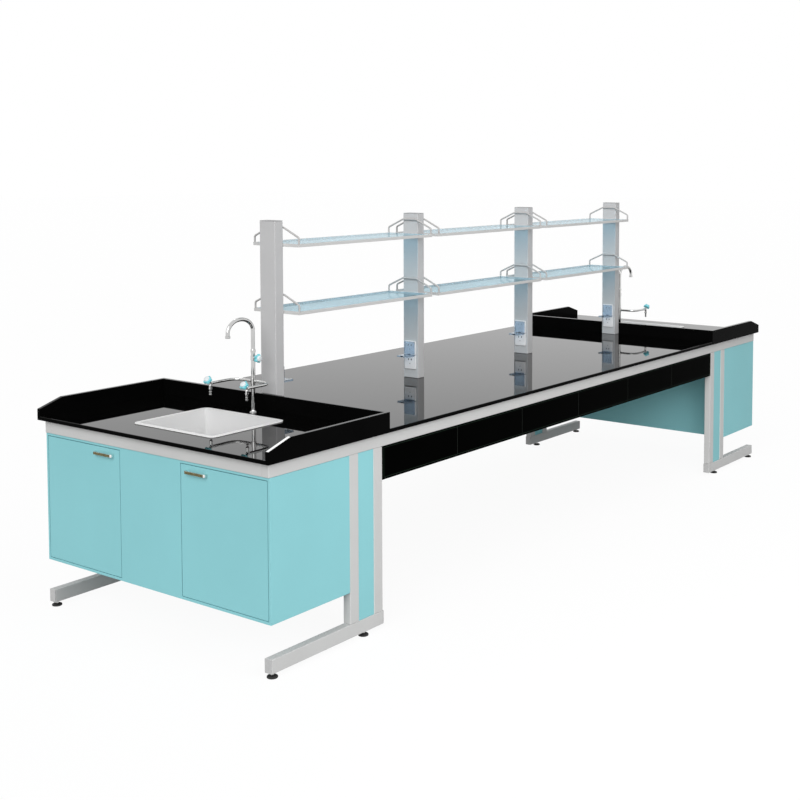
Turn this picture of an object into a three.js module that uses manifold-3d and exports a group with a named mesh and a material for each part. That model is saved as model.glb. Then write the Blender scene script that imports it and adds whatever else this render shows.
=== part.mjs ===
// Double-sided laboratory bench with a reagent shelf and a sink station at each end.
// Millimetres, +Z up. The floor is z = 0 and the middle of the bench is x = y = 0.
// X runs along the bench: the "near" station is at -X and the "far" one at +X.
// The "front" long side is at -Y and the "rear" one at +Y.
import * as THREE from "three";
import { mergeVertices } from "three/addons/utils/BufferGeometryUtils.js";
import Module from "manifold-3d";

const wasm = await Module();
wasm.setup();

// Whole bench
const LENGTH = 4800;
const WIDTH = 1500;
const WORK_HEIGHT = 900;
const POST_TOP = 1800;
const STATION_DEPTH = 750;
const GAP = 0.3; // clearance between neighbouring pieces
const LAP = 1; // how far two welded shapes run into each other

// Worktops and splashbacks
const TOP_THICK = 18;
const WORK_STRIPS = 3; // front working strip, strip under the posts, rear working strip
const SPLASH_THICK = 20;
const SPLASH_HEIGHT = 75;
const SPLASH_FRONT_HEIGHT = 35;
const SPLASH_SLOPE = 127;

// Steel frame: rail under the tops, C-shaped end frames, levelling feet
const RAIL_RECESS = 25;
const RAIL_HEIGHT = 60;
const TUBE = 40;
const CROSS_BEARER_X = [-1698, -541, 541, 1698];
const FOOT_LENGTH = 700;
const FOOT_FRONT_RECESS = 30;
const FOOT_HEIGHT = 60;
const FOOT_CLEARANCE = 22;
const FOOT_END_PROUD = 7;
const UPRIGHT_WIDTH = 58;
const INFILL_WIDTH = 101;
const INFILL_RECESS = 2;
const LEVELLER_INSET = { outer: 54, inner: 613 }; // from the end of the bench
const LEVELLER_BASE_R = 23;
const LEVELLER_BASE_H = 7;
const LEVELLER_SHANK_R = 8;

// Fascia between the end frames
const APRON_HEIGHT = 150;
const APRON_THICK = 18;
const APRON_PANELS = 6;
const SEAM_WIDTH = 3;
const SEAM_DEPTH = 2.5;

// Reagent shelf: posts, sockets, shelves, end guards
const POST_WIDTH = 100;
const POST_DEPTH = 55;
const SHELF_DEPTH = 300;
const SHELF_HEIGHT = 15;
const SHELF_BOTTOM = { lower: 1355, upper: 1675 };
const SHELF_BORDER = 22;
const GLASS_LIP = 10;
const GLASS_THICK = 6;
const GUARD_R = 4;
const GUARD_OFF = 7; // rod axis to the end of the shelf
const GUARD_SHOULDER = 30; // above the shelf, where the slope starts
const GUARD_TOP = 76;
const GUARD_TOP_HALF = 46;
const GUARD_BEND = 8;
const SOCKET_SIZE = 74;
const SOCKET_THICK = 8;
const SOCKET_BOTTOM = { lower: 950, upper: 1029 };
const COVER_SIZE = 68;
const COVER_THICK = 9;
const COVER_WALL = 2.5;
const COVER_OFF = 0.6; // closed cover to its socket plate

// Sinks
const SINK_LENGTH = 440; // along X
const SINK_WIDTH = 520; // along Y
const SINK_CENTRE = 373; // from the end of the bench
const SINK_RIM = 15;
const SINK_RIM_HEIGHT = 4;
const SINK_RIM_CORNER = 42;
const SINK_WALL = 5;
const SINK_DEPTH = 205;
const DRAIN_R = 22;
const TAILPIECE_LENGTH = 60;

// Taps
const TAP_INSET = 650; // from the end of the bench
const TAP_FLANGE_R = 19;
const TAP_FLANGE_H = 6;
const TAP_FLARE_R = 13;
const TAP_FLARE_TOP = 14; // above the worktop
const TAP_COLUMN_R = 10;
const TAP_HOLE_R = 12;
const TAP_SHANK_LENGTH = 45;
const TAP_COLUMN_TOP = 1185;
const TAP_ARM_Z = 1050;
const TAP_ARM_R = 7;
const TAP_ARM_SPREAD = 120;
const TAP_ARM_BEND = 60;
const TAP_ARM_REACH = 158;
const TAP_ELBOW_BEND = 16;
const TAP_ELBOW_DROP = 24;
const TAP_ELBOW_INSET = 4; // where a side knob's axis meets the bend
const NOZZLE_TIP_Z = 994;
const NOZZLE_NUT_R = 8.5;
const NOZZLE_NUT_HEIGHT = 4;
const NOZZLE_BARBS = 3;
const NOZZLE_BARB_R = 7;
const NOZZLE_NECK_R = 4.5;
const VALVE_Z = 1159;
const STEM_R = 5;
const SPOUT_R = 9.5;
const SPOUT_REACH = 158;
const SPOUT_SPRING_Z = 1290;
const SPOUT_RISE = 58;
const SPOUT_TIP_Z = 1268;
const SPOUT_COLLAR_R = 12;
const SPOUT_COLLAR_HEIGHT = 16;
const SPOUT_OUTLET_HEIGHT = 13;
const SPOUT_STEPS = 18; // straight lengths round the arch
const KNOB_R = 19;
const KNOB_LOBE = 2.5;
const KNOB_LOBES = 5;
const KNOB_DEPTH = 15;
const KNOB_CAP_R = 14;
const KNOB_CAP_DEPTH = 8;
const KNOB_START = 20; // from the arm's axis to the back of a side knob
const COLUMN_KNOB_START = 25; // from the column's axis to the back of its knob

// Hanging cabinets
const CABINET_BOTTOM = 223;
const CABINET_FRONT_RECESS = 30;
const CABINET_WALL = 12;
const FACE_THICK = 18;
const CENTRE_HALF = 198;
const DOOR_GAP = 2;
const SINK_NOTCH_HALF = 256;
const SINK_NOTCH_Z = 680;
const HANDLE_LENGTH = 132;
const HANDLE_TALL = 13;
const HANDLE_THICK = 5;
const HANDLE_STAND_OFF = 20;
const HANDLE_CENTRE_Y = 301;
const HANDLE_BELOW_TOP = 28;

// Derived
const END = LENGTH / 2;
const HALF = WIDTH / 2;
const TOP_UNDER = WORK_HEIGHT - TOP_THICK;
const RAIL_UNDER = TOP_UNDER - RAIL_HEIGHT;
const FLUSH = HALF - RAIL_RECESS; // outer face of rail, frames, fascia and cabinets
const FRAME_Y = FLUSH - TUBE / 2;
const MAIN_END = END - STATION_DEPTH;
const FOOT_FRONT = -END + FOOT_FRONT_RECESS;
const FOOT_BACK = FOOT_FRONT + FOOT_LENGTH;
const UPRIGHT_BACK = FOOT_BACK - FOOT_END_PROUD;
const INFILL_BACK = UPRIGHT_BACK - UPRIGHT_WIDTH;
const INFILL_FRONT = INFILL_BACK - INFILL_WIDTH;
const UPRIGHT_FRONT = INFILL_FRONT - UPRIGHT_WIDTH;
const FOOT_TOP = FOOT_CLEARANCE + FOOT_HEIGHT;
const POST_X = [-3, -1, 1, 3].map((third) => (third / 3) * (MAIN_END - POST_DEPTH / 2));
const SINK_X = -END + SINK_CENTRE;
const TAP_X = -END + TAP_INSET;
const CABINET_FRONT = -END + CABINET_FRONT_RECESS;
const DOOR_OUTER = FLUSH - CABINET_WALL - DOOR_GAP;
const DOOR_INNER = CENTRE_HALF + DOOR_GAP;
const DOOR_BOTTOM = CABINET_BOTTOM + CABINET_WALL + DOOR_GAP;
const DOOR_TOP = RAIL_UNDER - CABINET_WALL - DOOR_GAP;

// Materials
const material = (color, roughness, metalness, opacity = 1) =>
  new THREE.MeshStandardMaterial({ color, roughness, metalness, opacity, transparent: opacity < 1 });
const BLACK_TOP = [0x0b0b0c, 0.12, 0];
const BLACK_PANEL = [0x0d0d0e, 0.35, 0];
const GREY_STEEL = [0xc9c9c9, 0.45, 0.1];
const TEAL = [0x86c4cc, 0.5, 0];
const CHROME = [0xd9dadc, 0.08, 1];
const WHITE = [0xf2f2f2, 0.25, 0];
const BLACK_RUBBER = [0x111111, 0.8, 0];
const GLASS = [0xb6dfea, 0.05, 0, 0.45];
const BLUE_COVER = [0x8fb9de, 0.15, 0, 0.6];
const TEAL_KNOB = [0x4fb0aa, 0.4, 0];

const group = new THREE.Group();
group.name = "lab_bench";

// A closed geometry as a solid whose faces point outwards
function solid(geometry) {
  const bare = geometry.clone();
  bare.deleteAttribute("normal");
  bare.deleteAttribute("uv");
  const merged = mergeVertices(bare, 1e-4);
  const corners = new Uint32Array(merged.index.array);
  const vertProperties = new Float32Array(merged.attributes.position.array);
  const made = new wasm.Manifold(new wasm.Mesh({ numProp: 3, vertProperties, triVerts: corners }));
  if (made.volume() > 0) return made;
  corners.reverse();
  return new wasm.Manifold(new wasm.Mesh({ numProp: 3, vertProperties, triVerts: corners }));
}

function geometryOf(body) {
  const mesh = body.getMesh();
  const geometry = new THREE.BufferGeometry();
  geometry.setAttribute("position", new THREE.BufferAttribute(mesh.vertProperties, 3));
  geometry.setIndex(new THREE.BufferAttribute(mesh.triVerts, 1));
  return geometry;
}

const join = (first, ...rest) => rest.reduce((sum, one) => sum.add(one), first);
const cut = (first, ...rest) => rest.reduce((left, one) => left.subtract(one), first);

// Adds a named piece; "turned" gives the copy at the far end, half a turn about Z
function piece(name, body, finish, turned = false) {
  const geometry = geometryOf(body);
  if (turned) geometry.rotateZ(Math.PI);
  geometry.computeVertexNormals();
  const mesh = new THREE.Mesh(geometry, material(...finish));
  mesh.name = name;
  group.add(mesh);
}

// A block, whose faces can be laid out in strips across Y
function box([x0, x1], [y0, y1], [z0, z1], strips = 1) {
  const sizes = [Math.abs(x1 - x0), Math.abs(y1 - y0), Math.abs(z1 - z0)];
  const geometry = new THREE.BoxGeometry(...sizes, 1, strips, 1);
  return solid(geometry.translate((x0 + x1) / 2, (y0 + y1) / 2, (z0 + z1) / 2));
}

function roundedRectangle(length, width, corner) {
  const shape = new THREE.Shape();
  const a = length / 2;
  const b = width / 2;
  shape.moveTo(-a + corner, -b);
  shape.lineTo(a - corner, -b);
  shape.absarc(a - corner, -b + corner, corner, -Math.PI / 2, 0);
  shape.lineTo(a, b - corner);
  shape.absarc(a - corner, b - corner, corner, 0, Math.PI / 2);
  shape.lineTo(-a + corner, b);
  shape.absarc(-a + corner, b - corner, corner, Math.PI / 2, Math.PI);
  shape.lineTo(-a, -b + corner);
  shape.absarc(-a + corner, -b + corner, corner, Math.PI, Math.PI * 1.5);
  return shape;
}

function upright(shape, [z0, z1], curveSegments = 8) {
  const geometry = new THREE.ExtrudeGeometry(shape, { depth: z1 - z0, bevelEnabled: false, curveSegments });
  return geometry.translate(0, 0, z0);
}

// A turned shape about a vertical axis at (x, y); profile is a list of [radius, z]
function turnedShape(profile, x, y, segments = 20) {
  const points = profile.map(([radius, z]) => new THREE.Vector2(radius, z));
  const geometry = new THREE.LatheGeometry(points, segments).rotateX(Math.PI / 2);
  return solid(geometry.translate(x, y, 0));
}

// A round bar from one point to another
function bar(from, to, radius, segments = 16) {
  const along = new THREE.Vector3().subVectors(to, from);
  const geometry = new THREE.CylinderGeometry(radius, radius, along.length(), segments);
  const up = new THREE.Vector3(0, 1, 0);
  geometry.applyQuaternion(new THREE.Quaternion().setFromUnitVectors(up, along.clone().normalize()));
  const middle = new THREE.Vector3().addVectors(from, to).multiplyScalar(0.5);
  return solid(geometry.translate(middle.x, middle.y, middle.z));
}

// A path through corner points, each inner corner rounded by its own bend
function bentPath(corners, bends) {
  const path = new THREE.CurvePath();
  let start = corners[0];
  for (let i = 1; i < corners.length - 1; i += 1) {
    const corner = corners[i];
    const towards = (next) => corner.clone().lerp(next, bends[i - 1] / corner.distanceTo(next));
    const before = towards(corners[i - 1]);
    const after = towards(corners[i + 1]);
    path.add(new THREE.LineCurve3(start, before));
    path.add(new THREE.QuadraticBezierCurve3(before, corner, after));
    start = after;
  }
  path.add(new THREE.LineCurve3(start, corners[corners.length - 1]));
  return path;
}

function tube(path, radius, steps, sides) {
  const ring = new THREE.Shape();
  for (let i = 0; i < sides; i += 1) {
    const angle = (2 * Math.PI * i) / sides;
    const point = [radius * Math.cos(angle), radius * Math.sin(angle)];
    if (i === 0) ring.moveTo(...point);
    else ring.lineTo(...point);
  }
  ring.closePath();
  return solid(new THREE.ExtrudeGeometry(ring, { steps, extrudePath: path, bevelEnabled: false }));
}

const at = (x, y, z) => new THREE.Vector3(x, y, z);

// Worktops: one slab in the middle, one slab with bonded splashbacks at each end
const slab = box([-MAIN_END, MAIN_END], [-HALF, HALF], [TOP_UNDER, WORK_HEIGHT], WORK_STRIPS);
piece("worktop_main", slab, BLACK_TOP);

// What is cut away above the sloping front ends of the side splashbacks
function splashSlope() {
  const top = WORK_HEIGHT + SPLASH_HEIGHT;
  const fall = (SPLASH_HEIGHT - SPLASH_FRONT_HEIGHT) / SPLASH_SLOPE;
  const shape = new THREE.Shape();
  shape.moveTo(-END - LAP, WORK_HEIGHT + SPLASH_FRONT_HEIGHT - fall * LAP);
  shape.lineTo(-END + SPLASH_SLOPE, top);
  shape.lineTo(-END + SPLASH_SLOPE, top + LAP);
  shape.lineTo(-END - LAP, top + LAP);
  shape.closePath();
  const geometry = new THREE.ExtrudeGeometry(shape, { depth: WIDTH + 2 * LAP, bevelEnabled: false });
  return solid(geometry.rotateX(Math.PI / 2).translate(0, HALF + LAP, 0));
}

function bowlOutline(grow) {
  const length = SINK_LENGTH - 2 * SINK_RIM + 2 * grow;
  const width = SINK_WIDTH - 2 * SINK_RIM + 2 * grow;
  return roundedRectangle(length, width, SINK_RIM_CORNER - SINK_RIM + grow);
}

function sinkTop() {
  const back = -MAIN_END - GAP;
  const top = WORK_HEIGHT + SPLASH_HEIGHT;
  const inside = HALF - SPLASH_THICK;
  const block = box([-END, back], [-HALF, HALF], [TOP_UNDER, top]);
  const surface = box([-END - LAP, back - SPLASH_THICK], [-inside, inside], [WORK_HEIGHT, top + LAP]);
  const through = [TOP_UNDER - LAP, WORK_HEIGHT + LAP];
  const cutOut = solid(upright(bowlOutline(LAP), through).translate(SINK_X, 0, 0));
  const tapHole = bar(at(TAP_X, 0, through[0]), at(TAP_X, 0, through[1]), TAP_HOLE_R, 24);
  return cut(block, surface, splashSlope(), cutOut, tapHole);
}

// Rail all round under the tops, with bearers across it
function topFrame() {
  const heights = [RAIL_UNDER, TOP_UNDER - GAP];
  const outerX = END - RAIL_RECESS;
  const outer = box([-outerX, outerX], [-FLUSH, FLUSH], heights);
  const innerX = outerX - TUBE;
  const innerY = FLUSH - TUBE;
  const ring = cut(outer, box([-innerX, innerX], [-innerY, innerY], [heights[0] - LAP, heights[1] + LAP]));
  const bearers = CROSS_BEARER_X.map((x) =>
    box([x - TUBE / 2, x + TUBE / 2], [-innerY - LAP, innerY + LAP], heights),
  );
  return join(ring, ...bearers);
}
piece("top_frame", topFrame(), GREY_STEEL);

// C-shaped end frame: foot tube, two uprights and the narrow infill panel between them
function endFrame(y) {
  const across = [y - TUBE / 2, y + TUBE / 2];
  const foot = box([FOOT_FRONT, FOOT_BACK], across, [FOOT_CLEARANCE, FOOT_TOP]);
  const heights = [FOOT_TOP - LAP, RAIL_UNDER - GAP];
  const frontTube = box([UPRIGHT_FRONT, INFILL_FRONT], across, heights);
  const backTube = box([INFILL_BACK, UPRIGHT_BACK], across, heights);
  const infillAcross = [across[0] + INFILL_RECESS, across[1] - INFILL_RECESS];
  const infill = box([INFILL_FRONT - LAP, INFILL_BACK + LAP], infillAcross, heights);
  return join(foot, frontTube, backTube, infill);
}

function leveller(inset, y) {
  const top = FOOT_CLEARANCE - GAP;
  const profile = [
    [0, 0],
    [LEVELLER_BASE_R, 0],
    [LEVELLER_BASE_R, LEVELLER_BASE_H],
    [LEVELLER_SHANK_R, top - LEVELLER_BASE_H],
    [LEVELLER_SHANK_R, top],
    [0, top],
  ];
  return turnedShape(profile, -END + inset, y, 16);
}

// Fascia panel with a seam between each of its sections
function apron(side) {
  const reach = -UPRIGHT_BACK - GAP;
  const heights = [RAIL_UNDER - GAP - APRON_HEIGHT, RAIL_UNDER - GAP];
  const board = box([-reach, reach], [side * (FLUSH - APRON_THICK), side * FLUSH], heights);
  const seams = [];
  for (let i = 1; i < APRON_PANELS; i += 1) {
    const x = -reach + (2 * reach * i) / APRON_PANELS;
    seams.push(
      box(
        [x - SEAM_WIDTH / 2, x + SEAM_WIDTH / 2],
        [side * (FLUSH - SEAM_DEPTH), side * (FLUSH + LAP)],
        [heights[0] - LAP, heights[1] + LAP],
      ),
    );
  }
  return cut(board, ...seams);
}

for (const [side, sideName] of [[-1, "front"], [1, "rear"]]) {
  piece(`apron_${sideName}`, apron(side), BLACK_PANEL);
}

// Reagent shelf: a post carries two socket plates on the face that looks along "facing"
function post(x, facing) {
  const across = [-POST_WIDTH / 2, POST_WIDTH / 2];
  const half = POST_DEPTH / 2;
  const column = box([x - half, x + half], across, [WORK_HEIGHT + GAP, POST_TOP]);
  const plates = Object.values(SOCKET_BOTTOM).map((bottom) =>
    box(
      [x + facing * (half - LAP), x + facing * (half + SOCKET_THICK)],
      [-SOCKET_SIZE / 2, SOCKET_SIZE / 2],
      [bottom, bottom + SOCKET_SIZE],
    ),
  );
  return join(column, ...plates);
}

// Flip cover: a shallow tray, shut over its socket plate or standing straight out from it
function socketCover(x, facing, bottom, open) {
  const face = POST_DEPTH / 2 + SOCKET_THICK + COVER_OFF;
  const half = COVER_SIZE / 2;
  const inner = half - COVER_WALL;
  const shell = box([0, COVER_THICK], [-half, half], [-COVER_SIZE, 0]);
  const hollowHeights = [-COVER_SIZE + COVER_WALL, -COVER_WALL];
  const hollow = box([-LAP, COVER_THICK - COVER_WALL], [-inner, inner], hollowHeights);
  const geometry = geometryOf(cut(shell, hollow));
  if (open) geometry.rotateY(-Math.PI / 2);
  if (facing < 0) geometry.rotateZ(Math.PI);
  const hinge = bottom + SOCKET_SIZE - (SOCKET_SIZE - COVER_SIZE) / 2;
  return solid(geometry.translate(x + facing * face, 0, hinge));
}

POST_X.forEach((x, i) => {
  const facing = i === 0 ? 1 : -1;
  piece(`post_${i + 1}`, post(x, facing), GREY_STEEL);
  piece(`socket_cover_upper_${i + 1}`, socketCover(x, facing, SOCKET_BOTTOM.upper, false), BLUE_COVER);
  piece(`socket_cover_lower_${i + 1}`, socketCover(x, facing, SOCKET_BOTTOM.lower, true), BLUE_COVER);
});

// A bent rod across the end of a shelf, in front of the post
function guard(x, shelfTop) {
  const foot = SHELF_DEPTH / 2 - GUARD_R;
  const corners = [
    at(x, -foot, shelfTop - LAP),
    at(x, -foot, shelfTop + GUARD_SHOULDER),
    at(x, -GUARD_TOP_HALF, shelfTop + GUARD_TOP),
    at(x, GUARD_TOP_HALF, shelfTop + GUARD_TOP),
    at(x, foot, shelfTop + GUARD_SHOULDER),
    at(x, foot, shelfTop - LAP),
  ];
  return tube(bentPath(corners, [GUARD_BEND, GUARD_BEND, GUARD_BEND, GUARD_BEND]), GUARD_R, 28, 6);
}

// Shelf frame with a rebate for the pane, and the pane that lies in it
function shelf(span, bottom) {
  const ends = [POST_X[span] + POST_DEPTH / 2 + GAP, POST_X[span + 1] - POST_DEPTH / 2 - GAP];
  const top = bottom + SHELF_HEIGHT;
  const half = SHELF_DEPTH / 2;
  const inset = (by) => [
    [ends[0] + by, ends[1] - by],
    [-half + by, half - by],
  ];
  const rebate = SHELF_BORDER - GLASS_LIP;
  const seat = top - GLASS_THICK - GAP;
  const board = box(...inset(0), [bottom, top]);
  const hole = box(...inset(SHELF_BORDER), [bottom - LAP, top + LAP]);
  const step = box(...inset(rebate), [seat, top + LAP]);
  const guards = [guard(ends[0] + GUARD_OFF, top), guard(ends[1] - GUARD_OFF, top)];
  return {
    frame: join(cut(board, hole, step), ...guards),
    pane: box(...inset(rebate + GAP), [seat + GAP, top]),
  };
}

for (const [level, bottom] of Object.entries(SHELF_BOTTOM)) {
  for (const span of [0, 1, 2]) {
    const { frame, pane } = shelf(span, bottom);
    piece(`shelf_frame_${level}_${span + 1}`, frame, GREY_STEEL);
    piece(`shelf_glass_${level}_${span + 1}`, pane, GLASS);
  }
}

// Drop-in sink: rim on the worktop, straight-sided bowl, drain and tailpiece
function sink() {
  const floor = WORK_HEIGHT - SINK_DEPTH;
  const under = floor - SINK_WALL;
  const rimBottom = WORK_HEIGHT + GAP;
  const rimTop = rimBottom + SINK_RIM_HEIGHT;
  const rimOutline = roundedRectangle(SINK_LENGTH, SINK_WIDTH, SINK_RIM_CORNER);
  const rim = solid(upright(rimOutline, [rimBottom, rimTop]));
  const bowl = solid(upright(bowlOutline(0), [under, rimTop]));
  const hollow = solid(upright(bowlOutline(-SINK_WALL), [floor, rimTop + LAP]));
  const tailpiece = bar(at(0, 0, under - TAILPIECE_LENGTH), at(0, 0, floor), DRAIN_R + SINK_WALL, 24);
  const drain = bar(at(0, 0, under - TAILPIECE_LENGTH - LAP), at(0, 0, floor + LAP), DRAIN_R, 24);
  const made = cut(join(rim, bowl, tailpiece), hollow, drain);
  return solid(geometryOf(made).translate(SINK_X, 0, 0));
}

// Tap body: flange, column, two side arms that curve to the front and end in hose nozzles
const slant = at(-1, 0, 1).normalize();
const elbow = (side) =>
  at(TAP_X - TAP_ARM_REACH + TAP_ELBOW_INSET, side * TAP_ARM_SPREAD, TAP_ARM_Z - TAP_ELBOW_INSET);
const valve = at(TAP_X, 0, VALVE_Z);
const outward = at(0, -1, 0);

function sideArm(side) {
  const y = side * TAP_ARM_SPREAD;
  const tipX = TAP_X - TAP_ARM_REACH;
  const drop = TAP_ARM_Z - TAP_ELBOW_DROP;
  const corners = [
    at(TAP_X, 0, TAP_ARM_Z),
    at(TAP_X, y, TAP_ARM_Z),
    at(tipX, y, TAP_ARM_Z),
    at(tipX, y, drop),
  ];
  const pipe = tube(bentPath(corners, [TAP_ARM_BEND, TAP_ELBOW_BEND]), TAP_ARM_R, 32, 10);
  const pitch = (drop - NOZZLE_TIP_Z) / NOZZLE_BARBS;
  const nutTop = drop + LAP;
  const profile = [[0, nutTop], [NOZZLE_NUT_R, nutTop], [NOZZLE_NUT_R, drop - NOZZLE_NUT_HEIGHT]];
  for (let i = NOZZLE_BARBS - 1; i >= 0; i -= 1) {
    const z = NOZZLE_TIP_Z + i * pitch;
    profile.push([NOZZLE_NECK_R, z + pitch * 0.55]);
    profile.push([NOZZLE_BARB_R, z + pitch * 0.45]);
    profile.push([NOZZLE_NECK_R, z]);
  }
  profile.push([0, NOZZLE_TIP_Z]);
  const nozzle = turnedShape(profile, tipX, y, 12);
  const start = elbow(side);
  const stem = bar(start, start.clone().addScaledVector(slant, KNOB_START - GAP), STEM_R, 12);
  return join(pipe, nozzle, stem);
}

function tapBody() {
  const profile = [
    [0, TOP_UNDER - TAP_SHANK_LENGTH],
    [TAP_COLUMN_R, TOP_UNDER - TAP_SHANK_LENGTH],
    [TAP_COLUMN_R, WORK_HEIGHT + GAP],
    [TAP_FLANGE_R, WORK_HEIGHT + GAP],
    [TAP_FLANGE_R, WORK_HEIGHT + TAP_FLANGE_H / 2],
    [TAP_FLARE_R, WORK_HEIGHT + TAP_FLANGE_H],
    [TAP_COLUMN_R, WORK_HEIGHT + TAP_FLARE_TOP],
    [TAP_COLUMN_R, TAP_COLUMN_TOP],
    [0, TAP_COLUMN_TOP],
  ];
  const column = turnedShape(profile, TAP_X, 0);
  const stemEnd = valve.clone().addScaledVector(outward, COLUMN_KNOB_START - GAP);
  const stem = bar(valve, stemEnd, STEM_R, 12);
  return join(column, sideArm(-1), sideArm(1), stem);
}

// Swan-neck spout: collar, rising pipe, flat arch towards the sink, outlet collar
function spout() {
  const base = TAP_COLUMN_TOP + GAP;
  const points = [at(TAP_X, 0, base + SPOUT_COLLAR_HEIGHT / 2)];
  for (let i = 0; i <= SPOUT_STEPS; i += 1) {
    const angle = (Math.PI * i) / SPOUT_STEPS;
    const x = TAP_X - (SPOUT_REACH / 2) * (1 - Math.cos(angle));
    points.push(at(x, 0, SPOUT_SPRING_Z + SPOUT_RISE * Math.sin(angle)));
  }
  const tipX = TAP_X - SPOUT_REACH;
  points.push(at(tipX, 0, SPOUT_TIP_Z + SPOUT_OUTLET_HEIGHT / 2));
  const path = new THREE.CurvePath();
  for (let i = 1; i < points.length; i += 1) path.add(new THREE.LineCurve3(points[i - 1], points[i]));
  const pipe = tube(path, SPOUT_R, 48, 14);
  const collar = bar(at(TAP_X, 0, base), at(TAP_X, 0, base + SPOUT_COLLAR_HEIGHT), SPOUT_COLLAR_R, 20);
  const outletTop = at(tipX, 0, SPOUT_TIP_Z + SPOUT_OUTLET_HEIGHT);
  const outlet = bar(at(tipX, 0, SPOUT_TIP_Z), outletTop, SPOUT_COLLAR_R, 20);
  return join(pipe, collar, outlet);
}

// Lobed handwheel with a round cap, its axis along "axis"
function knob(origin, axis, start) {
  const shape = new THREE.Shape();
  const steps = KNOB_LOBES * 8;
  for (let i = 0; i < steps; i += 1) {
    const angle = (2 * Math.PI * i) / steps;
    const radius = KNOB_R + KNOB_LOBE * Math.cos(KNOB_LOBES * angle);
    const point = [radius * Math.cos(angle), radius * Math.sin(angle)];
    if (i === 0) shape.moveTo(...point);
    else shape.lineTo(...point);
  }
  shape.closePath();
  const wheel = solid(upright(shape, [0, KNOB_DEPTH]));
  const cap = bar(at(0, 0, KNOB_DEPTH - LAP), at(0, 0, KNOB_DEPTH + KNOB_CAP_DEPTH), KNOB_CAP_R, 20);
  const geometry = geometryOf(join(wheel, cap));
  geometry.applyQuaternion(new THREE.Quaternion().setFromUnitVectors(at(0, 0, 1), axis));
  const place = origin.clone().addScaledVector(axis, start);
  return solid(geometry.translate(place.x, place.y, place.z));
}

// Hanging cabinet: open-topped box, face frame with a fixed centre panel, notch for the bowl
function carcass() {
  const top = RAIL_UNDER - GAP;
  const back = UPRIGHT_FRONT - GAP;
  const inside = FLUSH - CABINET_WALL;
  const above = top + LAP;
  const shell = box([CABINET_FRONT, back], [-FLUSH, FLUSH], [CABINET_BOTTOM, top]);
  const floor = CABINET_BOTTOM + CABINET_WALL;
  const hollow = box([CABINET_FRONT + FACE_THICK, back - CABINET_WALL], [-inside, inside], [floor, above]);
  const ways = [-1, 1].map((side) =>
    box(
      [CABINET_FRONT - LAP, CABINET_FRONT + FACE_THICK + LAP],
      [side * CENTRE_HALF, side * inside],
      [floor, RAIL_UNDER - CABINET_WALL],
    ),
  );
  const notch = box(
    [back - CABINET_WALL - LAP, back + LAP],
    [-SINK_NOTCH_HALF, SINK_NOTCH_HALF],
    [SINK_NOTCH_Z, above],
  );
  return cut(shell, hollow, ...ways, notch);
}

// Door leaf with its flat bow handle
function door(side) {
  const face = CABINET_FRONT;
  const width = [side * DOOR_INNER, side * DOOR_OUTER];
  const leaf = box([face, face + FACE_THICK], width, [DOOR_BOTTOM, DOOR_TOP]);
  const half = HANDLE_LENGTH / 2;
  const shape = new THREE.Shape();
  shape.moveTo(-half, LAP);
  shape.quadraticCurveTo(-half, -HANDLE_STAND_OFF, -half + HANDLE_STAND_OFF, -HANDLE_STAND_OFF);
  shape.lineTo(half - HANDLE_STAND_OFF, -HANDLE_STAND_OFF);
  shape.quadraticCurveTo(half, -HANDLE_STAND_OFF, half, LAP);
  shape.lineTo(half - HANDLE_THICK * 2, LAP);
  const inner = -HANDLE_STAND_OFF + HANDLE_THICK;
  shape.quadraticCurveTo(half - HANDLE_THICK * 2, inner, half - HANDLE_STAND_OFF - HANDLE_THICK, inner);
  shape.lineTo(-half + HANDLE_STAND_OFF + HANDLE_THICK, inner);
  shape.quadraticCurveTo(-half + HANDLE_THICK * 2, inner, -half + HANDLE_THICK * 2, LAP);
  shape.closePath();
  const middle = DOOR_TOP - HANDLE_BELOW_TOP;
  const bow = upright(shape, [middle - HANDLE_TALL / 2, middle + HANDLE_TALL / 2]);
  bow.rotateZ(-Math.PI / 2).translate(face, side * HANDLE_CENTRE_Y, 0);
  return join(leaf, solid(bow));
}

// Both stations and their frames; the far one is the near one turned half way round
for (const [end, turned] of [["near", false], ["far", true]]) {
  const sideName = (side) => ((turned ? -side : side) < 0 ? "front" : "rear");
  piece(`sink_top_${end}`, sinkTop(), BLACK_TOP, turned);
  piece(`sink_${end}`, sink(), WHITE, turned);
  piece(`tap_${end}`, tapBody(), CHROME, turned);
  piece(`spout_${end}`, spout(), CHROME, turned);
  piece(`knob_${end}_column`, knob(valve, outward, COLUMN_KNOB_START), TEAL_KNOB, turned);
  piece(`cabinet_${end}`, carcass(), TEAL, turned);
  for (const side of [-1, 1]) {
    const name = `${end}_${sideName(side)}`;
    piece(`knob_${name}`, knob(elbow(side), slant, KNOB_START), TEAL_KNOB, turned);
    piece(`door_${name}`, door(side), TEAL, turned);
    piece(`end_frame_${name}`, endFrame(side * FRAME_Y), GREY_STEEL, turned);
    for (const [place, inset] of Object.entries(LEVELLER_INSET)) {
      piece(`foot_${name}_${place}`, leveller(inset, side * FRAME_Y), BLACK_RUBBER, turned);
    }
  }
}

export default group;
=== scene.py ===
"""The looks of a double-sided laboratory bench with a reagent shelf and two sink stations."""

import math

import bmesh
import bpy
from bpy.props import FloatProperty, FloatVectorProperty, PointerProperty
from mathutils import Matrix, Vector


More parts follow.
